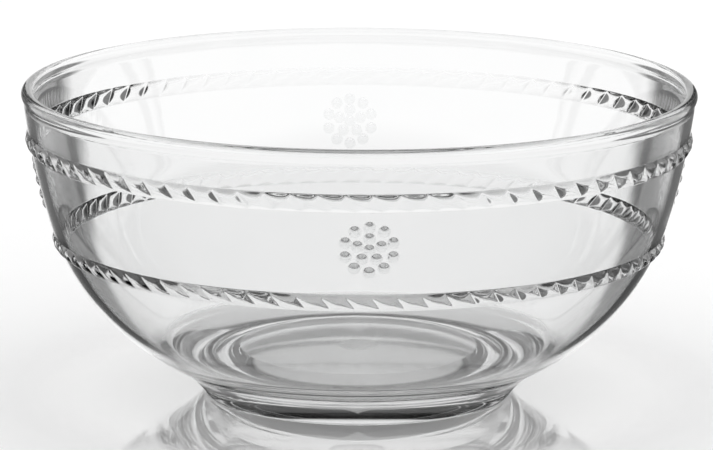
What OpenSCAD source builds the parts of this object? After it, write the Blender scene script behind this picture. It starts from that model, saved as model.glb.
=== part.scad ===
// Clear serving bowl with a rolled rim, two rope bands, four bead clusters and a coved foot.
// Millimetres, +Z up, origin on the table under the centre of the foot, front cluster towards -Y.

/* [Bowl] */
// Outside diameter over the rolled rim
rim_d = 250; // [200:1:300]
// Height from the table to the top of the rim
bowl_h = 115.5; // [100:0.1:140]
// Thickness of the side wall
wall_t = 2.9; // [2:0.1:4.5]
// Height at which the steep side turns into the round bottom
turn_z = 66.3; // [55:0.1:75]
// Lean of the side from upright just under the rim, in degrees
lean_top = 6.9; // [4:0.1:10]
// Lean of the side from upright at the turn, in degrees
lean_turn = 16.4; // [12:0.1:22]
// Lean of the round bottom from upright where it meets the foot, in degrees
lean_low = 62.5; // [50:0.1:68]
// Thickness of the floor above the foot
floor_t = 4.3; // [3:0.1:8]
// Radius of the blend between floor and side inside the bowl
floor_blend = 22; // [8:1:40]

/* [Rim] */
// Thickness of the rolled rim
lip_t = 4.8; // [3.5:0.1:6]
// How far the rolled rim stands out beyond the wall
lip_out = 0.4; // [0.1:0.1:1]
// Clearance between the rolled rim and its seat on the wall
seat_gap = 0.05; // [0.02:0.01:0.3]

/* [Rope bands] */
// Height of a rope band, measured along the wall
rope_h = 6.9; // [4:0.1:10]
// How far a rope stands proud of the wall
rope_proud = 1.5; // [1:0.1:3]
// Depth of the upper rope's middle below the top of the rim
upper_rope_drop = 19.3; // [14:0.1:26]
// Depth of the lower rope's middle below the top of the rim
lower_rope_drop = 57; // [50:0.1:62]
// Number of strands around each rope
strands = 80; // [48:4:100]
// Slant of the strands from upright, in degrees
strand_slant = 34; // [15:1:50]
// Depth of the groove between two strands
groove_depth = 1; // [0.4:0.05:1.8]
// Turn of the first groove away from the front, in degrees
groove_start = 1.3; // [0:0.1:4]

/* [Bead clusters] */
// Depth of a cluster's middle below the top of the rim
cluster_drop = 36.6; // [32:0.1:42]
// Diameter of a bead where it meets the wall
bead_d = 4.2; // [3:0.1:5]
// How far a bead stands proud of the wall
bead_proud = 1.2; // [0.6:0.1:2]
// Beads in the inner ring
inner_beads = 5; // [4:1:6]
// Beads in the outer ring
outer_beads = 10; // [8:1:12]
// Distance from one ring of beads to the next
ring_pitch = 4.4; // [4:0.1:6]

/* [Foot] */
// How far the foot's outer cove runs in, from the round bottom to the heel
cove_in = 13.6; // [6:0.1:20]
// Height of the foot under the floor
foot_h = 12.7; // [8:0.1:18]
// Width of the foot ring at the table
foot_w = 2.8; // [2.2:0.1:7]
// How far the foot's inner side runs in, from the foot ring to the roof of the hollow
hollow_in = 9.9; // [3:0.1:14]
// How much the foot's inner side is coved, from 0 for straight to 1 for a full cove
hollow_cove = 0.2; // [0:0.05:1]
// Radius of the foot ring's bottom edges
foot_edge = 0.7; // [0.3:0.1:1]
// Diameter of the gate disc under the middle of the floor
gate_d = 15; // [6:0.5:24]
// How far the gate disc stands below the floor
gate_proud = 0.4; // [0.2:0.1:1]

/* [Hidden] */
$fn = 180;

// Steps along a cove of the foot, and up the wall behind a rope
cove_steps = 16;
wall_steps = 20;
// Share of a cove's length that leaves its upper end along the bowl's own line
cove_pull = 0.45;
// Share of a groove cutter's length beyond the rope's height
groove_reach = 1.8;

floor_z = foot_h + floor_t;

lip_r = rim_d / 2 - lip_t / 2;
lip_z = bowl_h - lip_t / 2;

// Outer wall: the side arc starts under the rim, the round arc carries on from it in line.
side_r = (lip_z - turn_z) / (sin(lean_turn) - sin(lean_top));
side_start = rim_d / 2 - lip_out;
side_c = [side_start - side_r * cos(lean_top), lip_z + side_r * sin(lean_top)];
turn_r = side_c.x + side_r * cos(lean_turn);
round_r = (turn_z - foot_h) / (sin(lean_low) - sin(lean_turn));
round_c = [turn_r - round_r * cos(lean_turn), turn_z + round_r * sin(lean_turn)];
low_r = round_c.x + round_r * cos(lean_low);

// Foot: from the round bottom in to the heel, the ring's inner side and the roof of the hollow
foot_r = low_r - cove_in;
foot_inner_r = foot_r - foot_w;
hollow_r = foot_inner_r - hollow_in;

// Inside blend: a circle that touches the floor and the inner wall
cavity_r = round_r - wall_t;
blend_z = floor_z + floor_blend;
blend_c = [round_c.x + sqrt(pow(cavity_r - floor_blend, 2) - pow(round_c.y - blend_z, 2)), blend_z];
blend_dir = (blend_c - round_c) / norm(blend_c - round_c);

// A rope's section is part of a circle whose middle lies inside the wall; so is a bead's.
rope_round = (pow(rope_h / 2, 2) + pow(rope_proud, 2)) / (2 * rope_proud);
bead_ball = (pow(bead_d / 2, 2) + pow(bead_proud, 2)) / (2 * bead_proud);
// Grooves are cut with a square bar on its edge, deep enough to clear the strands' tops.
groove_bar = 4 * groove_depth;

upper_rope_z = bowl_h - upper_rope_drop;
lower_rope_z = bowl_h - lower_rope_drop;
cluster_z = bowl_h - cluster_drop;

function on_side(z) = z >= turn_z;

// Outer radius and lean of the wall at a height
function wall_r(z) =
    on_side(z)
        ? side_c.x + sqrt(pow(side_r, 2) - pow(side_c.y - z, 2))
        : round_c.x + sqrt(pow(round_r, 2) - pow(round_c.y - z, 2));
function wall_lean(z) =
    on_side(z) ? asin((side_c.y - z) / side_r) : asin((round_c.y - z) / round_r);

// Points up the wall from one height to another
function wall_line(z0, z1) = [
    for (i = [0:wall_steps])
        let (z = z0 + (z1 - z0) * i / wall_steps)
            [wall_r(z), z]
];

// Points of a cove from a to c that leaves a towards b
function cove(a, b, c) = [
    for (i = [0:cove_steps])
        let (t = i / cove_steps)
            a * pow(1 - t, 2) + b * 2 * t * (1 - t) + c * pow(t, 2)
];

module strip(z0, z1) {
    translate([0, z0])
        square([rim_d, z1 - z0]);
}

// Half section of the bowl as if solid, drawn in by an inset
module bowl_fill(inset, z0, z1) {
    joint_z = turn_z + inset * sin(lean_turn);
    intersection() {
        translate(side_c)
            circle(r = side_r - inset);
        strip(joint_z, z1);
    }
    intersection() {
        translate(round_c)
            circle(r = round_r - inset);
        strip(z0, joint_z);
    }
}

module lip_section(gap) {
    translate([lip_r, lip_z])
        circle(r = lip_t / 2 + gap);
}

module cavity_section() {
    difference() {
        bowl_fill(wall_t, floor_z, bowl_h);
        difference() {
            polygon([
                blend_c,
                blend_c - [0, 2 * floor_blend],
                blend_c + 2 * floor_blend * [blend_dir.x, -1],
                blend_c + 2 * floor_blend * blend_dir
            ]);
            translate(blend_c)
                circle(r = floor_blend);
        }
    }
}

// Moves a piece from the wall's own frame (X outward, Z up the wall) to its place on the bowl.
module on_wall(turn, z) {
    rotate([0, 0, turn])
        translate([wall_r(z), 0, z])
            rotate([0, wall_lean(z), 0])
                children();
}

module bowl_body() {
    color([0.93, 0.95, 0.95, 0.35])
        rotate_extrude()
            difference() {
                bowl_fill(0, foot_h, lip_z);
                cavity_section();
                lip_section(seat_gap);
            }
}

module rim_roll() {
    color([0.9, 0.92, 0.92, 0.4])
        rotate_extrude()
            lip_section(0);
}

// The ring's own seam is kept in the middle of a strand, clear of the grooves.
module rope_band(z) {
    depth = rope_round - rope_proud;
    strand_turn = 360 / strands;
    rotate([0, 0, groove_start - 90])
        difference() {
            rotate([0, 0, strand_turn / 2])
                rotate_extrude()
                    difference() {
                        translate([wall_r(z) - depth * cos(wall_lean(z)), z + depth * sin(wall_lean(z))])
                            circle(r = rope_round);
                        polygon(concat(wall_line(z - rope_h, z + rope_h), [[0, z + rope_h], [0, z - rope_h]]));
                    }
            for (i = [0:strands - 1])
                on_wall(i * strand_turn, z)
                    translate([rope_proud - groove_depth + groove_bar / sqrt(2), 0, 0])
                        rotate([strand_slant, 0, 0])
                            rotate([0, 0, 45])
                                cube([groove_bar, groove_bar, groove_reach * rope_h], center = true);
        }
}

module upper_rope() {
    color([0.86, 0.88, 0.89, 0.5])
        rope_band(upper_rope_z);
}

module lower_rope() {
    color([0.86, 0.88, 0.89, 0.5])
        rope_band(lower_rope_z);
}

// One bead, a distance along and up the wall from its cluster's middle, with its flat on the wall
module bead(turn, along, up) {
    z = cluster_z + up * cos(wall_lean(cluster_z));
    on_wall(turn + along / wall_r(z) * 180 / PI, z)
        rotate([0, 90, 0])
            rotate_extrude()
                intersection() {
                    translate([0, bead_proud - bead_ball])
                        circle(r = bead_ball);
                    square([bead_ball, bead_proud]);
                }
}

module bead_ring(turn, count, radius) {
    for (i = [0:count - 1])
        bead(turn, radius * sin(i * 360 / count), radius * cos(i * 360 / count));
}

module bead_cluster(turn) {
    color([0.88, 0.9, 0.92, 0.5]) {
        bead(turn, 0, 0);
        bead_ring(turn, inner_beads, ring_pitch);
        bead_ring(turn, outer_beads, 2 * ring_pitch);
    }
}

module front_beads() {
    bead_cluster(-90);
}

module right_beads() {
    bead_cluster(0);
}

module back_beads() {
    bead_cluster(90);
}

module left_beads() {
    bead_cluster(180);
}

module foot_ring() {
    low = [low_r, foot_h];
    heel = [foot_r, foot_edge];
    inner_heel = [foot_inner_r, foot_edge];
    hollow_top = [hollow_r, foot_h];
    chord_middle = (inner_heel + hollow_top) / 2;
    pull = cove_pull * norm(low - heel);
    color([0.9, 0.93, 0.93, 0.4])
        rotate_extrude()
            difference() {
                polygon(concat(
                    cove(low, low - pull * [sin(lean_low), cos(lean_low)], heel),
                    [[heel.x, 0], [inner_heel.x, 0]],
                    cove(
                        inner_heel,
                        chord_middle + hollow_cove * ([inner_heel.x, foot_h] - chord_middle),
                        hollow_top
                    )
                ));
                foot_corner(heel, 1);
                foot_corner(inner_heel, -1);
            }
}

// What rounding takes off a bottom edge of the foot, on its outer (1) or inner (-1) side
module foot_corner(heel, side) {
    middle = heel - [side * foot_edge, 0];
    difference() {
        polygon([
            middle,
            middle + 2 * foot_edge * [0, -1],
            middle + 2 * foot_edge * [side, -1],
            middle + 2 * foot_edge * [side, 0]
        ]);
        translate(middle)
            circle(r = foot_edge);
    }
}

module gate_disc() {
    color([0.8, 0.82, 0.83, 0.6])
        translate([0, 0, foot_h - gate_proud])
            cylinder(d = gate_d, h = gate_proud);
}

bowl_body();
rim_roll();
upper_rope();
lower_rope();
front_beads();
right_beads();
back_beads();
left_beads();
foot_ring();
gate_disc();
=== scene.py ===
# %% [markdown]
# # A clear berry bowl
#
# This lesson dresses a serving bowl of clear pressed glass. The frame below brings in the bowl's
# solids at their real size. Each of them gets a finer mesh that follows the same line, because glass
# shows every facet twice, once on each face of the wall. The lesson goes from the outside in: the
# sizes, the line of the wall, the glass, the pieces, and then the studio that the glass mirrors.

# %% Load the frame
import math

import bmesh
import bpy
import numpy as np
from mathutils import Matrix, Vector


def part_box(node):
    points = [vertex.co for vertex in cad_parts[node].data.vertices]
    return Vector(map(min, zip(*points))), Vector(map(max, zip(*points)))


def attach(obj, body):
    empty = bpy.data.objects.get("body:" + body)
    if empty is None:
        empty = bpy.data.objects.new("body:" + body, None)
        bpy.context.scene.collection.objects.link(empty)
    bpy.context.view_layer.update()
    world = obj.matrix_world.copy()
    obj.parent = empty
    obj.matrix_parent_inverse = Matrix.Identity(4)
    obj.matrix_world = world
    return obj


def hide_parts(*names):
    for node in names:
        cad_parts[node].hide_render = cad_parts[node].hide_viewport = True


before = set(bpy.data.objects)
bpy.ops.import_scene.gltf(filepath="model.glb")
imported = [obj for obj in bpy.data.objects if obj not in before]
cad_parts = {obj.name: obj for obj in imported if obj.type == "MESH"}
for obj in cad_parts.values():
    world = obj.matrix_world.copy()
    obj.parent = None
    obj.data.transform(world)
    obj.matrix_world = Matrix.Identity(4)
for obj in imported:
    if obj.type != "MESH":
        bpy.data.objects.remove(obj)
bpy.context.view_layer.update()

MM = 0.001

# %% [markdown]
# ## Sizes
#
# Most sizes can be read off the solids' own boxes: the rolled rim gives its thickness and its height,
# the foot gives the level of the floor, the gate disc its diameter. Only what a box can't tell is
# written here, such as how the wall leans and how thick it is. Reading a size is safer than writing
# it twice.

# %% Read the sizes
rim_low, rim_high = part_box("rim_roll")
foot_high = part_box("foot_ring")[1]
gate_low, gate_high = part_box("gate_disc")

LIP_R = (rim_high.z - rim_low.z) / 2
LIP_RING = rim_high.x - LIP_R
LIP_Z = rim_high.z - LIP_R
FOOT_TOP = foot_high.z
GATE_R = gate_high.x

WALL = 2.9 * MM
LIP_OUT = 0.4 * MM
FLOOR_T = 4.3 * MM
TURN_Z = 66.3 * MM
LEAN_TOP, LEAN_TURN, LEAN_LOW = (math.radians(lean) for lean in (6.9, 16.4, 62.5))
print(f"rim ring {LIP_RING / MM:.2f} mm, rim thickness {2 * LIP_R / MM:.2f} mm")

# %% [markdown]
# ## The line of the wall
#
# Seen in section the outside is two arcs that run into each other: a nearly straight side and a round
# bottom. The inside follows at the wall's thickness and ends in a blend to the flat floor. A turned
# body could be drawn with a curve and a Screw modifier, but the rope bands and the beads need to know
# where the wall is and how it leans at any height. So the line is a small function that all pieces
# share.

# %% Arcs of the wall
SIDE_R = (LIP_Z - TURN_Z) / (math.sin(LEAN_TURN) - math.sin(LEAN_TOP))
SIDE_C = (
    rim_high.x - LIP_OUT - SIDE_R * math.cos(LEAN_TOP),
    LIP_Z + SIDE_R * math.sin(LEAN_TOP),
)
ROUND_R = (TURN_Z - FOOT_TOP) / (math.sin(LEAN_LOW) - math.sin(LEAN_TURN))
ROUND_C = (
    SIDE_C[0] + (SIDE_R - ROUND_R) * math.cos(LEAN_TURN),
    TURN_Z + ROUND_R * math.sin(LEAN_TURN),
)


def wall_at(z, inset=0.0):
    """Radius and lean of the wall at a height, on its outside or drawn in by an inset."""
    side = z >= TURN_Z + inset * math.sin(LEAN_TURN)
    (middle_r, middle_z), size = (SIDE_C, SIDE_R) if side else (ROUND_C, ROUND_R)
    drop = middle_z - z
    return middle_r + math.sqrt((size - inset) ** 2 - drop**2), math.asin(drop / (size - inset))


COVE_IN = 13.6 * MM
FOOT_W = 2.8 * MM
HOLLOW_IN = 9.9 * MM
LOW_R = wall_at(FOOT_TOP)[0]
FOOT_R = LOW_R - COVE_IN
HOLLOW_R = FOOT_R - FOOT_W - HOLLOW_IN
print(f"the round bottom meets the foot at a radius of {LOW_R / MM:.2f} mm")

# %% [markdown]
# ## Wires for shader maths
#
# Shader nodes are easier to read as sums. A wire stands for one output of a node. Adding or
# multiplying wires adds the Math node for it, colours go through Mix and directions through Vector
# Math. Every other node comes from the one method `make`: its type, its settings, then its sockets.


# %% A small class for sockets
class Wire:
    """One output in a node tree; sums and products of wires add the nodes for them."""

    def __init__(self, tree, socket):
        self.tree = tree
        self.socket = socket

    @staticmethod
    def make(tree, kind, settings=None, sockets=None, out=0):
        """Adds a node of a type, sets it up, fills or links its sockets and returns an output."""
        node = tree.nodes.new(kind)
        for name, value in (settings or {}).items():
            setattr(node, name, value)
        for name, value in (sockets or {}).items():
            if isinstance(value, Wire):
                tree.links.new(value.socket, node.inputs[name])
            else:
                node.inputs[name].default_value = value
        return Wire(tree, node.outputs[out])

    def join(self, operation, left, right):
        """The node that joins two values, at least one of which is a wire."""
        kinds = {value.socket.type for value in (left, right) if isinstance(value, Wire)}
        if kinds != {"VALUE"}:
            size = 4 if "RGBA" in kinds else 3
            left, right = (v if isinstance(v, Wire) else (v,) * size for v in (left, right))
        if "RGBA" in kinds:
            settings = {"data_type": "RGBA", "blend_type": operation}
            return self.make(self.tree, "ShaderNodeMix", settings, {0: 1.0, 6: left, 7: right}, out=2)
        kind = "ShaderNodeVectorMath" if "VECTOR" in kinds else "ShaderNodeMath"
        return self.make(self.tree, kind, {"operation": operation}, {0: left, 1: right})

    def __add__(self, other):
        return self.join("ADD", self, other)

    def __radd__(self, other):
        return self.join("ADD", other, self)

    def __sub__(self, other):
        return self.join("SUBTRACT", self, other)

    def __rsub__(self, other):
        return self.join("SUBTRACT", other, self)

    def __mul__(self, other):
        return self.join("MULTIPLY", self, other)

    def __rmul__(self, other):
        return self.join("MULTIPLY", other, self)

    def step(self, low, high):
        """0 below low, 1 above high, and a smooth rise between them."""
        sockets = {"Value": self, "From Min": low, "From Max": high}
        return self.make(self.tree, "ShaderNodeMapRange", {"interpolation_type": "SMOOTHSTEP"}, sockets)

    def blend(self, low, high):
        """A colour between two, with this value as the share of the second."""
        sockets = {0: self, 6: (*low, 1.0), 7: (*high, 1.0)}
        return self.make(self.tree, "ShaderNodeMix", {"data_type": "RGBA"}, sockets, out=2)


def noise(tree, place, scale, detail=2.0):
    """Soft noise from 0 to 1, with this many waves to the metre."""
    sockets = {"Vector": place, "Scale": scale, "Detail": detail}
    return Wire.make(tree, "ShaderNodeTexNoise", None, sockets)


print("wires ready")

# %% [markdown]
# ## Clear glass
#
# Pressed glass is clear, a little wavy where it cooled against the mould, and it carries a few specks
# of dust. Transmission and the index of refraction are the same all over, so they are set on the
# shader itself. Noise varies the tint and the polish, and a very low Bump bends the reflections. The
# floor inside is a little duller than the rest, as spoons wear it. Where two pieces of the one bowl
# meet there is no surface at all, only more glass. Those hidden faces get a seam finish that is not
# seen, so light passes from piece to piece as if through one casting.

# %% Glass finishes
GLASS_IOR = 1.5
WAVE_SCALE = 45.0
DUST_SCALE, DUST_DETAIL = 900.0, 4.0
DUST_FROM, DUST_TO = 0.66, 0.74
WAVE = 0.025 * MM
CLEAR_TINT = ((0.965, 0.97, 0.97), (0.99, 0.99, 0.99))
GATE_TINT = ((0.86, 0.88, 0.88), (0.95, 0.96, 0.96))
WORN_TINT = ((0.975, 0.98, 0.98), (0.995, 0.995, 0.995))


def new_material(name):
    """A material with only a Principled shader, its tree and that shader."""
    material = bpy.data.materials.new(name)
    material.use_nodes = True
    return material, material.node_tree, material.node_tree.nodes["Principled BSDF"]


def glass(name, tint, polish, wave):
    """Clear glass: a tint from low to high, a roughness from low to high, and a height of waves."""
    material, tree, shader = new_material(name)
    place = Wire.make(tree, "ShaderNodeTexCoord", out="Object")
    cooling = noise(tree, place, WAVE_SCALE)
    dust = noise(tree, place, DUST_SCALE, DUST_DETAIL).step(DUST_FROM, DUST_TO)
    shader.inputs["Transmission Weight"].default_value = 1.0
    shader.inputs["IOR"].default_value = GLASS_IOR
    colour = cooling.blend(*tint)
    tree.links.new(colour.socket, shader.inputs["Base Color"])
    rough = polish[0] + (polish[1] - polish[0]) * dust
    tree.links.new(rough.socket, shader.inputs["Roughness"])
    ripple = {"Strength": 1.0, "Distance": wave, "Height": cooling}
    bump = Wire.make(tree, "ShaderNodeBump", None, ripple)
    tree.links.new(bump.socket, shader.inputs["Normal"])
    return material


clear_glass = glass("clear_glass", CLEAR_TINT, (0.0, 0.05), WAVE)
gate_glass = glass("gate_glass", GATE_TINT, (0.25, 0.4), 0.04 * MM)
worn_glass = glass("worn_glass", WORN_TINT, (0.06, 0.14), WAVE)
seam, _, seam_shader = new_material("seam")
seam_shader.inputs["Alpha"].default_value = 0.0
print("finishes:", clear_glass.name, gate_glass.name, worn_glass.name, seam.name)

# %% [markdown]
# ## Turning a section into a mesh
#
# A section is a row of points from the axis outwards, up, and back. Turned about the axis in many
# steps it becomes a closed skin of quads. Every step of the section has a finish of its own, the glass,
# the seam or the worn floor, so hidden joints can be marked where the section is drawn. The skin takes
# any grid of points that closes round the axis, so the ropes and the beads use it too.

# %% Skin from a grid of points
GLASS, SEAM, WORN = 0, 1, 2
CORNER = math.radians(30)
TURNS = 480


def section_grid(section, angles):
    """Points [step, turn, xyz] of a section of (radius, height) rows turned through these angles."""
    section = np.asarray(section)
    radius, height = section[:, 0, None], section[:, 1, None]
    heights = np.broadcast_to(height, (len(section), len(angles)))
    return np.stack([radius * np.cos(angles), radius * np.sin(angles), heights], axis=-1)


def skin(grid, finishes, closed, start=None, end=None):
    """Vertices, faces and face finishes of a grid that closes round the axis.

    A closed grid joins its last row to its first. Otherwise start and end are points on the axis
    that close the ends with fans, and finishes has one more entry at each end for them.
    """
    rows, turns = grid.shape[:2]
    at = np.arange(rows * turns).reshape(rows, turns)
    here, there = (at, np.roll(at, -1, 0)) if closed else (at[:-1], at[1:])
    strips = np.stack([here, np.roll(here, -1, 1), np.roll(there, -1, 1), there], axis=-1)
    points = grid.reshape(-1, 3).tolist()
    faces = strips.reshape(-1, 4).tolist()
    kinds = list(finishes) if closed else list(finishes[1:-1])
    slots = np.repeat(kinds, turns).tolist()
    if not closed:
        for pole, row, kind, step in ((start, at[0], finishes[0], 1), (end, at[-1], finishes[-1], -1)):
            points.append(tuple(pole))
            ring = np.stack([row, np.roll(row, -1)], axis=-1)[:, ::-step].tolist()
            faces += [[len(points) - 1, a, b] for a, b in ring]
            slots += [kind] * turns
    return points, faces, slots


def piece(name, skins, finish):
    """A piece of the bowl made of one or more skins, which stands for the CAD node of its name."""
    points, faces, slots = [], [], []
    for more_points, more_faces, more_slots in skins:
        faces += [[len(points) + i for i in face] for face in more_faces]
        points += more_points
        slots += more_slots
    mesh = bpy.data.meshes.new(name)
    mesh.from_pydata(points, [], faces)
    for material in (finish, seam, worn_glass):
        mesh.materials.append(material)
    mesh.polygons.foreach_set("material_index", slots)
    mesh.shade_smooth()
    mesh.set_sharp_from_angle(angle=CORNER)
    mesh.update()
    made = bpy.data.objects.new(f"clear_{name}", mesh)
    bpy.context.collection.objects.link(made)
    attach(made, "root")
    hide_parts(name)
    print(f"{made.name}: {len(points)} points, {len(faces)} faces")
    return made


ring_angles = np.linspace(0.0, 2 * math.pi, TURNS, endpoint=False)
print(f"a ring has {TURNS} turns")

# %% [markdown]
# ## The bowl's body
#
# The body is the wall and the floor in one turned skin. The section starts under the middle of the
# floor, runs out below it to the foot, climbs the outside, crosses over under the rim, comes down the
# inside and ends in the middle of the floor. Behind the two rope bands, over the foot and under the
# rim the section is marked as seam, because there the glass carries on in another piece.

# %% Places of the rope bands on the wall
ROPE_HALF = 3.6 * MM
RIM_JOINT = LIP_Z - 4.2 * MM


def rope_middle(node):
    """Height of a rope band's middle, from its solid's box."""
    low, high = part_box(node)
    return (low.z + high.z) / 2


ROPES = {name: rope_middle(name) for name in ("upper_rope", "lower_rope")}


def rope_span(middle):
    """Lowest and highest height of a rope band on the wall."""
    reach = ROPE_HALF * math.cos(wall_at(middle)[1])
    return middle - reach, middle + reach


SPANS = [rope_span(middle) for middle in ROPES.values()]
print("rope bands from", [[round(z / MM, 1) for z in span] for span in SPANS], "mm")

# %% Section of the body
FLOOR_Z = FOOT_TOP + FLOOR_T
FLOOR_BLEND = 22 * MM
CENTRE = 2 * MM
STEP = 1.6 * MM
BLEND_STEPS, FLOOR_STEPS, ROOF_STEPS = 24, 12, 8

cavity = ROUND_R - WALL
blend_z = FLOOR_Z + FLOOR_BLEND
blend_r = ROUND_C[0] + math.sqrt((cavity - FLOOR_BLEND) ** 2 - (ROUND_C[1] - blend_z) ** 2)
blend_turn = math.atan2(ROUND_C[1] - blend_z, blend_r - ROUND_C[0])


def spaced(low, high, step):
    """Values from low to high in even steps no larger than step."""
    return np.linspace(low, high, max(2, math.ceil((high - low) / step) + 1))


def under_rope(z):
    """True where a height on the wall lies behind a rope band."""
    return any(low < z < high for low, high in SPANS)


stations = sorted({FOOT_TOP, RIM_JOINT, TURN_Z, *[z for span in SPANS for z in span]})
climb = np.unique(np.concatenate([spaced(a, b, STEP) for a, b in zip(stations, stations[1:])]))
outside = [(wall_at(z)[0], z) for z in climb]

blend_top = blend_z - FLOOR_BLEND * math.sin(blend_turn)
inside = [(wall_at(z, WALL)[0], z) for z in spaced(blend_top, RIM_JOINT, STEP)[::-1]]
blend = [
    (blend_r + FLOOR_BLEND * math.cos(turn), blend_z - FLOOR_BLEND * math.sin(turn))
    for turn in np.linspace(blend_turn, math.pi / 2, BLEND_STEPS)
]
floor = [(r, FLOOR_Z) for r in np.linspace(blend_r, CENTRE, FLOOR_STEPS)]
roof = [(r, FOOT_TOP) for r in (CENTRE, *np.linspace(GATE_R, HOLLOW_R, ROOF_STEPS))]

section = roof + outside + inside + blend[1:] + floor[1:]
kinds = []
for (r0, z0), (r1, z1) in zip(section, section[1:]):
    middle_r, middle_z = (r0 + r1) / 2, (z0 + z1) / 2
    under_gate = z0 == z1 == FOOT_TOP and middle_r < GATE_R
    over_foot = z0 == z1 == FOOT_TOP and middle_r > HOLLOW_R
    behind_rope = under_rope(middle_z) and r1 > r0 and z1 > z0
    under_rim = z0 == z1 == RIM_JOINT
    on_floor = z0 == z1 == FLOOR_Z
    hidden = under_gate or over_foot or behind_rope or under_rim
    kinds.append(SEAM if hidden else WORN if on_floor else GLASS)
body_skin = skin(
    section_grid(section, ring_angles),
    [SEAM, *kinds, WORN],
    closed=False,
    start=(0, 0, FOOT_TOP),
    end=(0, 0, FLOOR_Z),
)
piece("bowl_body", [body_skin], clear_glass)

# %% [markdown]
# ## The rolled rim
#
# A rim that is fire polished rolls into a bead a little thicker than the wall. Its section is a
# circle, and two short curves lead from the wall into it so that no sharp line is left. Such a curve
# is a cubic with its ends along the wall and along the circle, which is all that a smooth join needs.

# %% Rim
LIP_OPEN = math.radians(22)
LIP_STEPS = 30


def lead(start, start_way, end, end_way, steps=9):
    """Points of a cubic that leaves start one way and comes to end another way."""
    start, end = np.array(start), np.array(end)
    reach = np.linalg.norm(end - start) / 3
    hold, pull = start + reach * np.array(start_way), end - reach * np.array(end_way)
    t = np.linspace(0, 1, steps)[:, None]
    curve = start * (1 - t) ** 3 + 3 * hold * t * (1 - t) ** 2 + 3 * pull * t**2 * (1 - t) + end * t**3
    return [tuple(point) for point in curve]


def on_lip(turn):
    """Point of the rim's circle at a turn from straight outwards, and the way it runs there."""
    point = (LIP_RING + LIP_R * math.cos(turn), LIP_Z + LIP_R * math.sin(turn))
    return point, (-math.sin(turn), math.cos(turn))


outer_r, outer_lean = wall_at(RIM_JOINT)
inner_r, inner_lean = wall_at(RIM_JOINT, WALL)
up_wall = (math.sin(outer_lean), math.cos(outer_lean))
down_wall = (-math.sin(inner_lean), -math.cos(inner_lean))
lip_turns = np.linspace(-LIP_OPEN, math.pi + LIP_OPEN, LIP_STEPS)
rim_section = (
    lead((outer_r, RIM_JOINT), up_wall, *on_lip(lip_turns[0]))
    + [on_lip(turn)[0] for turn in lip_turns[1:-1]]
    + lead(*on_lip(lip_turns[-1]), (inner_r, RIM_JOINT), down_wall)
)
rim_kinds = [GLASS] * (len(rim_section) - 1) + [SEAM]
rim_skin = skin(section_grid(rim_section, ring_angles), rim_kinds, closed=True)
piece("rim_roll", [rim_skin], clear_glass)

# %% [markdown]
# ## The rope bands
#
# A rope band is a raised ring pressed with slanting strands. Single strands could be bent cylinders,
# but they would cross each other inside the glass. Here the band is one skin: a height over the wall
# that rises from nothing at both edges, swells over each strand and drops into a groove between two.
# The columns lean with the strands, so every groove follows a line of points and stays crisp.

# %% Height of a strand
STRANDS = 80
SLANT = math.tan(math.radians(34))
ROPE_PROUD = 1.5 * MM
ROPE_START = math.radians(1.3 - 90)
GROOVE_DEPTH = 1.0 * MM
GROOVE_SLOPE = 0.4
GROOVE_SOFT = 0.3 * MM
GROOVE_ROUND = 0.2 * MM
ROPE_SWELL = 1.3
LEAST = 0.03 * MM


def strand_height(across, up):
    """Height of the rope over the wall, rounded where the crown runs into a groove.

    across is the distance from the nearest groove, up runs from -1 to 1 over the band.
    """
    crown = ROPE_PROUD * (1 - up**2) ** ROPE_SWELL
    groove = ROPE_PROUD - GROOVE_DEPTH + GROOVE_SLOPE * np.hypot(across, GROOVE_ROUND)
    rounded = (crown + groove - np.hypot(crown - groove, GROOVE_SOFT)) / 2
    return np.maximum(rounded, LEAST * (1 - up**2))


columns = np.array([-1, -0.96, -0.9, -0.82, -0.72, -0.6, -0.4, 0, 0.4, 0.6, 0.72, 0.82, 0.9, 0.96])
print(f"{STRANDS} strands of {len(columns)} columns")

# %% Rope skins
ROPE_ROWS = 23
BACK_SKIP = 4


def rope_skin(middle):
    """Skin of a rope band around the wall at a height."""
    across = np.tile(columns, STRANDS)
    pitch = 2 * math.pi / STRANDS
    angle = ROPE_START + (np.repeat(np.arange(STRANDS), len(columns)) + (across + 1) / 2) * pitch
    groove_gap = (1 - np.abs(across)) / 2 * pitch * wall_at(middle)[0] * math.cos(math.atan(SLANT))
    front = -np.cos(np.linspace(0, math.pi, ROPE_ROWS))
    back = front[1:-1:BACK_SKIP][::-1]
    middle_lean = wall_at(middle)[1]
    layers = []
    for up, raised in [(up, True) for up in front] + [(up, False) for up in back]:
        z = middle + up * ROPE_HALF * math.cos(middle_lean)
        radius, lean = wall_at(z)
        height = strand_height(groove_gap, up) if raised else np.zeros_like(across)
        turn = angle - SLANT * up * ROPE_HALF / radius
        out, drop = height * math.cos(lean), height * math.sin(lean)
        points = [(radius + out) * np.cos(turn), (radius + out) * np.sin(turn), z - drop]
        layers.append(np.stack(points, axis=-1))
    finishes = [GLASS] * (ROPE_ROWS - 1) + [SEAM] * (len(back) + 1)
    return skin(np.array(layers), finishes, closed=True)


for rope_name, rope_z in ROPES.items():
    piece(rope_name, [rope_skin(rope_z)], clear_glass)

# %% [markdown]
# ## The bead clusters
#
# Four clusters of round beads sit between the ropes like flattened raspberries. Each bead is a dome
# with a small rounding at its foot. It is built flat, as rings around its own middle, and then set on
# the wall with its axis along the wall's normal. The turned wall carries on unbroken behind a bead, so
# a bead keeps its flat back, a hair above the wall: light then leaves the bead and enters the wall
# again in the same direction, as if both were one piece of glass.

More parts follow.
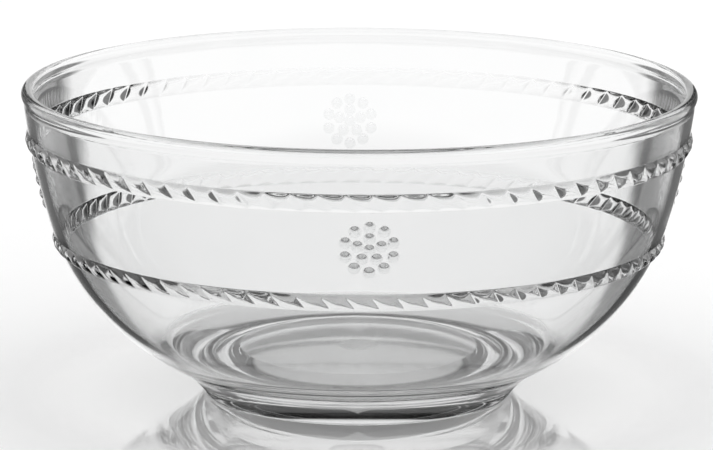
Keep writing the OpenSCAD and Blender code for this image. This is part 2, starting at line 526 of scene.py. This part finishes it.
# %% Beads
BEAD_R = 2.3 * MM
BEAD_PROUD = 0.8 * MM
BEAD_SWELL = 1.5
BEAD_GAP = 0.03 * MM
BEAD_ROWS = 20
BEAD_TURNS = 40
BEAD_TOP, BEAD_BACK = 0.06, 0.5
RING_PITCH = 4.4 * MM
BEAD_RINGS = ((0, 1), (1, 5), (2, 10))
CLUSTERS = {"front_beads": -90, "right_beads": 0, "back_beads": 90, "left_beads": 180}
bead_angles = np.linspace(0, 2 * math.pi, BEAD_TURNS, endpoint=False)


def bead_section():
    """Rows of (radius, height) from a bead's flat back over its edge to just below its top."""
    reach = np.linspace(1, BEAD_TOP, BEAD_ROWS)
    dome = [(BEAD_R * x, BEAD_GAP + BEAD_PROUD * (1 - x**2) ** BEAD_SWELL) for x in reach]
    return [(BEAD_R * BEAD_BACK, BEAD_GAP), *dome]


def bead_skin(turn, along, up, middle):
    """Skin of a bead, this far along and up the wall from its cluster's middle."""
    z = middle + up * math.cos(wall_at(middle)[1])
    radius, lean = wall_at(z)
    at = turn + along / radius
    out = Vector((math.cos(at) * math.cos(lean), math.sin(at) * math.cos(lean), -math.sin(lean)))
    side = Vector((-math.sin(at), math.cos(at), 0.0))
    seat = Vector((radius * math.cos(at), radius * math.sin(at), z))
    place = np.array([side, out.cross(side), out])
    rows = bead_section()
    grid = section_grid(rows, bead_angles) @ place + np.array(seat)
    foot, top = (seat + out * height for height in (BEAD_GAP, BEAD_GAP + BEAD_PROUD))
    return skin(grid, [GLASS] * (len(rows) + 1), False, foot, top)


for cluster_name, degrees in CLUSTERS.items():
    cluster_low, cluster_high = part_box(cluster_name)
    cluster_z = (cluster_low.z + cluster_high.z) / 2
    domes = []
    for ring, count in BEAD_RINGS:
        for turn in np.linspace(0, 2 * math.pi, count, endpoint=False):
            reach = ring * RING_PITCH
            along, up = reach * math.sin(turn), reach * math.cos(turn)
            domes.append(bead_skin(math.radians(degrees), along, up, cluster_z))
    piece(cluster_name, domes, clear_glass)

# %% [markdown]
# ## Foot and gate
#
# The foot is a ring under the bowl, coved outside and sloped inside, and narrow where it meets the
# table. Its top is a seam, because it is cast in one with the body. The gate disc is the small matt
# spot in the middle underneath, where the mould was filled.

# %% Foot ring
FOOT_EDGE = 0.7 * MM
COVE_PULL = 0.45
HOLLOW_COVE = 0.2


def cove(a, b, c, steps=20):
    """Points of a curve from a to c that leaves a towards b."""
    a, b, c = (np.array(point) for point in (a, b, c))
    t = np.linspace(0, 1, steps)[:, None]
    return [tuple(p) for p in a * (1 - t) ** 2 + 2 * b * t * (1 - t) + c * t**2]


def edge(middle, first, last, steps=8):
    """Points of a quarter round about a middle, from one turn to another, in degrees."""
    return [
        (middle + FOOT_EDGE * math.cos(turn), FOOT_EDGE + FOOT_EDGE * math.sin(turn))
        for turn in np.radians(np.linspace(first, last, steps))
    ]


brow, heel = (LOW_R, FOOT_TOP), (FOOT_R, FOOT_EDGE)
inner_heel = (FOOT_R - FOOT_W, FOOT_EDGE)
pull = COVE_PULL * math.dist(brow, heel)
leave = (LOW_R - pull * math.sin(LEAN_LOW), FOOT_TOP - pull * math.cos(LEAN_LOW))
chord = ((inner_heel[0] + HOLLOW_R) / 2, (FOOT_EDGE + FOOT_TOP) / 2)
bend = (
    chord[0] + HOLLOW_COVE * (inner_heel[0] - chord[0]),
    chord[1] + HOLLOW_COVE * (FOOT_TOP - chord[1]),
)
foot_section = (
    cove(brow, leave, heel)[::-1]
    + cove(inner_heel, bend, (HOLLOW_R, FOOT_TOP))[::-1]
    + edge(FOOT_R - FOOT_W + FOOT_EDGE, 180, 270)[1:]
    + edge(FOOT_R - FOOT_EDGE, 270, 360)[:-1]
)
foot_kinds = [
    SEAM if z0 == z1 == FOOT_TOP else GLASS
    for (_, z0), (_, z1) in zip(foot_section, foot_section[1:] + foot_section[:1])
]
foot_skin = skin(section_grid(foot_section, ring_angles), foot_kinds, closed=True)
piece("foot_ring", [foot_skin], clear_glass)

# %% Gate disc
GATE_EDGE = 0.15 * MM
GATE_TURNS = 96
gate_angles = np.linspace(0, 2 * math.pi, GATE_TURNS, endpoint=False)
gate_section = [
    (GATE_R * 0.5, gate_low.z),
    (GATE_R - GATE_EDGE, gate_low.z),
    (GATE_R, gate_low.z + GATE_EDGE),
    (GATE_R, gate_high.z),
    (GATE_R * 0.5, gate_high.z),
]
gate_kinds = [GLASS, GLASS, GLASS, GLASS, SEAM, SEAM]
gate_skin = skin(
    section_grid(gate_section, gate_angles),
    gate_kinds,
    closed=False,
    start=(0, 0, gate_low.z),
    end=(0, 0, gate_high.z),
)
piece("gate_disc", [gate_skin], gate_glass)

# %% [markdown]
# ## The studio
#
# Clear glass has no colour of its own, it shows what stands around it. White all around would leave
# only a ghost. So the studio is white only near the horizon and dark above: what the glass bends a
# little stays white, and what it bends upwards turns dark and draws the strands, the beads and the
# foot. Behind the bowl the white reaches higher, with a dark flag on either side that draws the edges
# of the wall. Light that has been mirrored more than once comes from a grey room with bright streaks.
# The camera itself and the light on the table see plain white.

# %% World
DARK = 0.01
CEILING = 0.06
CEILING_FROM = (0.05, 0.15)
OVERHEAD = (0.985, 0.998)
TALL_SCREEN = (0.6, 0.75)
TOP_FADE = 0.7
LOW_SCREEN = (0.27, 0.36)
CLEAR = 0.95
GREY = 0.15
STREAKS = 8
STREAK = 0.6
STREAK_HALF, STREAK_SOFT = math.radians(8), math.radians(7)
VIEW_HEADING = math.radians(1.8)
FLAG_INNER = (math.radians(7), math.radians(9))
FLAG_OUTER = (math.radians(28), math.radians(33))

world = bpy.data.worlds.new("studio")
bpy.context.scene.world = world
world.use_nodes = True
world.cycles.sampling_method = "NONE"
sky = world.node_tree


def bounced(tree, kind, count=1):
    """1 once a ray has had this many bounces of a kind, Diffuse, Glossy or Transmission."""
    return Wire.make(tree, "ShaderNodeLightPath", out=f"{kind} Depth").step(count - 0.6, count - 0.4)


def seen_directly(tree):
    """1 for rays straight from the camera."""
    return Wire.make(tree, "ShaderNodeLightPath", out="Is Camera Ray")


def axes(tree, place):
    """The three numbers of a place or a direction."""
    return (Wire.make(tree, "ShaderNodeSeparateXYZ", None, {0: place}, out=axis) for axis in "XYZ")


def maths(operation, first, second=0.0):
    """A Math node that has no operator in Python."""
    return Wire.make(first.tree, "ShaderNodeMath", {"operation": operation}, {0: first, 1: second})


ray = Wire.make(sky, "ShaderNodeTexCoord", out="Generated")
across, along, height = axes(sky, ray)
heading = maths("ARCTAN2", across, along)
aside = maths("ABSOLUTE", heading - VIEW_HEADING)
flag = aside.step(*FLAG_INNER) * (1 - aside.step(*FLAG_OUTER))
tall_screen = (1 - aside.step(*FLAG_INNER)) * (1 - TOP_FADE * height.step(*TALL_SCREEN))
near_horizon = 1 - height.step(*LOW_SCREEN)
streak_ends = (math.cos(STREAKS * angle) for angle in (STREAK_HALF + STREAK_SOFT, STREAK_HALF))
streaks = maths("COSINE", STREAKS * heading).step(*streak_ends)
clear_room = CLEAR * (1 - flag)
grey_room = GREY + STREAK * streaks
sides = near_horizon * (clear_room + bounced(sky, "Glossy", 2) * (grey_room - clear_room))
ceiling = CEILING * (1 - near_horizon) * along.step(*CEILING_FROM) * (1 - height.step(*OVERHEAD))
plain = seen_directly(sky) + bounced(sky, "Diffuse")
level = maths("MAXIMUM", plain, maths("MAXIMUM", DARK + sides + ceiling, tall_screen))
sky.links.new(level.socket, sky.nodes["Background"].inputs["Color"])
print("world ready")

# %% [markdown]
# ## The near screen
#
# A screen far away looks the same from every point of the bowl. The beads and the strands bend light
# so far that a narrow far screen would turn their sides black, and a wide one would leave the edges of
# the wall pale. A curved cloth close behind the bowl solves both: seen from the middle of the bowl it
# is wide, seen from the edge of the wall its grey end strips come into view.
# The camera itself doesn't see the cloth.

# %% Near screen
SCREEN_R = 0.35
SCREEN_H = 0.7
SCREEN_HALF = math.radians(30)
SCREEN_STEPS = 24
STRIP = (math.radians(22), math.radians(24))
STRIP_SHADE = 0.83
SCREEN_TOP = (0.3, 0.45)


def screen_finish():
    """White cloth that fades towards the top, with a grey strip down each end."""
    material, tree, shader = new_material("screen_cloth")
    place = Wire.make(tree, "ShaderNodeTexCoord", out="Object")
    across, along, height = axes(tree, place)
    strip = maths("ABSOLUTE", maths("ARCTAN2", across, along) - VIEW_HEADING).step(*STRIP)
    shade = STRIP_SHADE * strip * bounced(tree, "Transmission")
    cloth = DARK + (1 - shade) * (1 - TOP_FADE * height.step(*SCREEN_TOP))
    level = maths("MAXIMUM", cloth, bounced(tree, "Diffuse"))
    shader.inputs["Base Color"].default_value = (0, 0, 0, 1)
    shader.inputs["Specular IOR Level"].default_value = 0.0
    shader.inputs["Emission Strength"].default_value = 1.0
    tree.links.new(level.socket, shader.inputs["Emission Color"])
    material.cycles.emission_sampling = "NONE"
    return material


turns = VIEW_HEADING + np.linspace(-SCREEN_HALF, SCREEN_HALF, SCREEN_STEPS + 1)
foot_line = [(SCREEN_R * math.sin(turn), SCREEN_R * math.cos(turn), 0.0) for turn in turns]
head_line = [(x, y, SCREEN_H) for x, y, z in foot_line]
above = len(foot_line)
panels = [(n, n + 1, above + n + 1, above + n) for n in range(SCREEN_STEPS)]
screen_mesh = bpy.data.meshes.new("near_screen")
screen_mesh.from_pydata(foot_line + head_line, [], panels)
screen_mesh.materials.append(screen_finish())
near_screen = bpy.data.objects.new("near_screen", screen_mesh)
bpy.context.collection.objects.link(near_screen)
near_screen.visible_camera = False
near_screen.visible_diffuse = False
near_screen.visible_shadow = False
print("screen ready")

# %% [markdown]
# ## The table
#
# The bowl stands on a glossy white table that runs on behind it as far as the eye goes. It is a pale
# disc with painted shade: a painted falloff of the light makes it a little darker towards the camera
# and on the left. Near the bowl it is polished enough to mirror the foot, as any gloss does at low
# angles. Seen through the glass it mirrors the studio in the same way, and there it carries a painted
# black shadow where the foot touches it, standing in for the shade where no light gets in.

# %% Table
TABLE_R = 9.0
TABLE_TURNS = 96
UNDER_FOOT = (0.062, 0.095)
FLAT = (0.55, 0.65)
# CONTACT_IN and CONTACT_OUT bound a painted black shadow ring on the table where the foot touches it.
CONTACT_IN = (0.048, 0.051)
CONTACT_OUT = (0.058, 0.062)
POLISH = 0.55
POLISHED = (0.1, 0.14)
# Painted shade: TABLE_DIM is the darkest colour of a painted falloff of light towards the front and
# left; the BACK and SIDE numbers set where it falls.
TABLE_DIM = (0.92, 0.92, 0.92)
TABLE_BRIGHT = (1.0, 1.0, 1.0)
BACK_SHARE, BACK_FADE = 0.6, (-0.4, 0.9)
SIDE_SHARE, SIDE_FADE = 0.4, (-0.3, 0.3)
GRAIN_SCALE = 30.0
SMOOTH, GRAIN, BLUR = 0.01, 0.03, 0.1


def table_finish():
    """Polished white with a faint grain, and painted shade: darker at the front and on the left,
    and a painted black shadow where the foot touches it, for rays not straight from the camera.
    """
    material, tree, shader = new_material("table_white")
    place = Wire.make(tree, "ShaderNodeTexCoord", out="Object")
    length = {"operation": "LENGTH"}
    distance = Wire.make(tree, "ShaderNodeVectorMath", length, {0: place}, out="Value")
    right, back, _ = axes(tree, place)
    direct = seen_directly(tree)
    flat = Wire.make(tree, "ShaderNodeLayerWeight", None, {"Blend": 0.5}, out="Facing").step(*FLAT)
    # Painted shadow: rays that are not straight from the camera see the table black where the foot
    # touches it.
    painted_contact_shadow = distance.step(*CONTACT_IN) * (1 - distance.step(*CONTACT_OUT))
    # Painted shade for camera rays: a painted falloff of light darkens the table towards the camera and
    # on the left.
    painted_falloff = BACK_SHARE * back.step(*BACK_FADE) + SIDE_SHARE * right.step(*SIDE_FADE)
    light = maths("MAXIMUM", 1 - direct, painted_falloff)
    colour = light.blend(TABLE_DIM, TABLE_BRIGHT) * (1 - (1 - direct) * painted_contact_shadow)
    tree.links.new(colour.socket, shader.inputs["Base Color"])
    rough = SMOOTH + GRAIN * noise(tree, place, GRAIN_SCALE) + BLUR * (1 - direct)
    tree.links.new(rough.socket, shader.inputs["Roughness"])
    shader.inputs["Specular IOR Level"].default_value = 0.0
    foot_mirror = POLISH * flat * (1 - distance.step(*POLISHED))
    room_mirror = maths("MAXIMUM", flat, bounced(tree, "Glossy")) * distance.step(*UNDER_FOOT)
    polish = direct * foot_mirror + (1 - direct) * room_mirror
    tree.links.new(polish.socket, shader.inputs["Metallic"])
    return material


table_mesh = bpy.data.meshes.new("table")
table_shape = bmesh.new()
bmesh.ops.create_circle(table_shape, cap_ends=True, cap_tris=True, segments=TABLE_TURNS, radius=TABLE_R)
table_shape.to_mesh(table_mesh)
table_shape.free()
table_mesh.materials.append(table_finish())
table = bpy.data.objects.new("table", table_mesh)
bpy.context.collection.objects.link(table)
print("table ready")

# %% [markdown]
# ## The lamp
#
# Most of the light comes from the white world. One large round softbox above and behind the bowl adds
# the soft shadow under it. It is hidden from the glass, which would otherwise show it as a bright disc.

# %% Light
SOFTBOX_SIZE = 1.2
SOFTBOX_POWER = 2.0
SOFTBOX_PLACE = Vector((0.0, 0.5, 1.6))
SOFTBOX_AIM = Vector((0.0, 0.0, 0.05))
softbox = bpy.data.lights.new("softbox", "AREA")
softbox.shape = "DISK"
softbox.size = SOFTBOX_SIZE
softbox.energy = SOFTBOX_POWER
softbox_stand = bpy.data.objects.new("softbox", softbox)
softbox_stand.location = SOFTBOX_PLACE
softbox_stand.rotation_euler = (SOFTBOX_AIM - SOFTBOX_PLACE).to_track_quat("-Z", "Y").to_euler()
bpy.context.collection.objects.link(softbox_stand)
softbox_stand.visible_transmission = False
softbox_stand.visible_glossy = False
print("softbox at", [round(x, 2) for x in softbox_stand.location])

# %% [markdown]
# ## Camera
#
# The picture was taken from far away with a long lens, a little above the rim and a touch to the left
# of the front cluster. The camera stands where the ellipses of the rim and the bands have the same
# height as in the picture.

# %% Camera
PICTURE_W = 713
FOCAL_PX = 4980
SENSOR_W = 36.0
CAMERA_AWAY = 1.812
CAMERA_UP = 0.453
AIM_UP = 62.4 * MM
AIM_LEFT = 0.83 * MM
ROLL = math.radians(0.27)
CLIP_END = 50.0

camera = bpy.data.cameras.new("camera")
camera.sensor_width = SENSOR_W
camera.lens = FOCAL_PX * SENSOR_W / PICTURE_W
camera.clip_end = CLIP_END
camera_stand = bpy.data.objects.new("camera", camera)
bpy.context.collection.objects.link(camera_stand)

view_way = Vector((math.sin(VIEW_HEADING), math.cos(VIEW_HEADING), 0.0))
view_right = Vector((view_way.y, -view_way.x, 0.0))
camera_stand.location = Vector((0, 0, CAMERA_UP)) - CAMERA_AWAY * view_way
target = Vector((0, 0, AIM_UP)) - AIM_LEFT * view_right
look = (target - camera_stand.location).to_track_quat("-Z", "Y")
camera_stand.rotation_mode = "QUATERNION"
camera_stand.rotation_quaternion = look @ Matrix.Rotation(ROLL, 3, "Z").to_quaternion()
bpy.context.scene.camera = camera_stand
print("camera at", [round(x, 3) for x in camera_stand.location])

# %% [markdown]
# ## Finish
#
# Glass needs long light paths, because a ray crosses many faces before it leaves the bowl. The colours
# are shown plainly, with the Standard view.

# %% View and light paths
scene = bpy.context.scene
scene.view_settings.view_transform = "Standard"
scene.cycles.max_bounces = 32
scene.cycles.transmission_bounces = 32
scene.cycles.glossy_bounces = 16
scene.cycles.transparent_max_bounces = 64
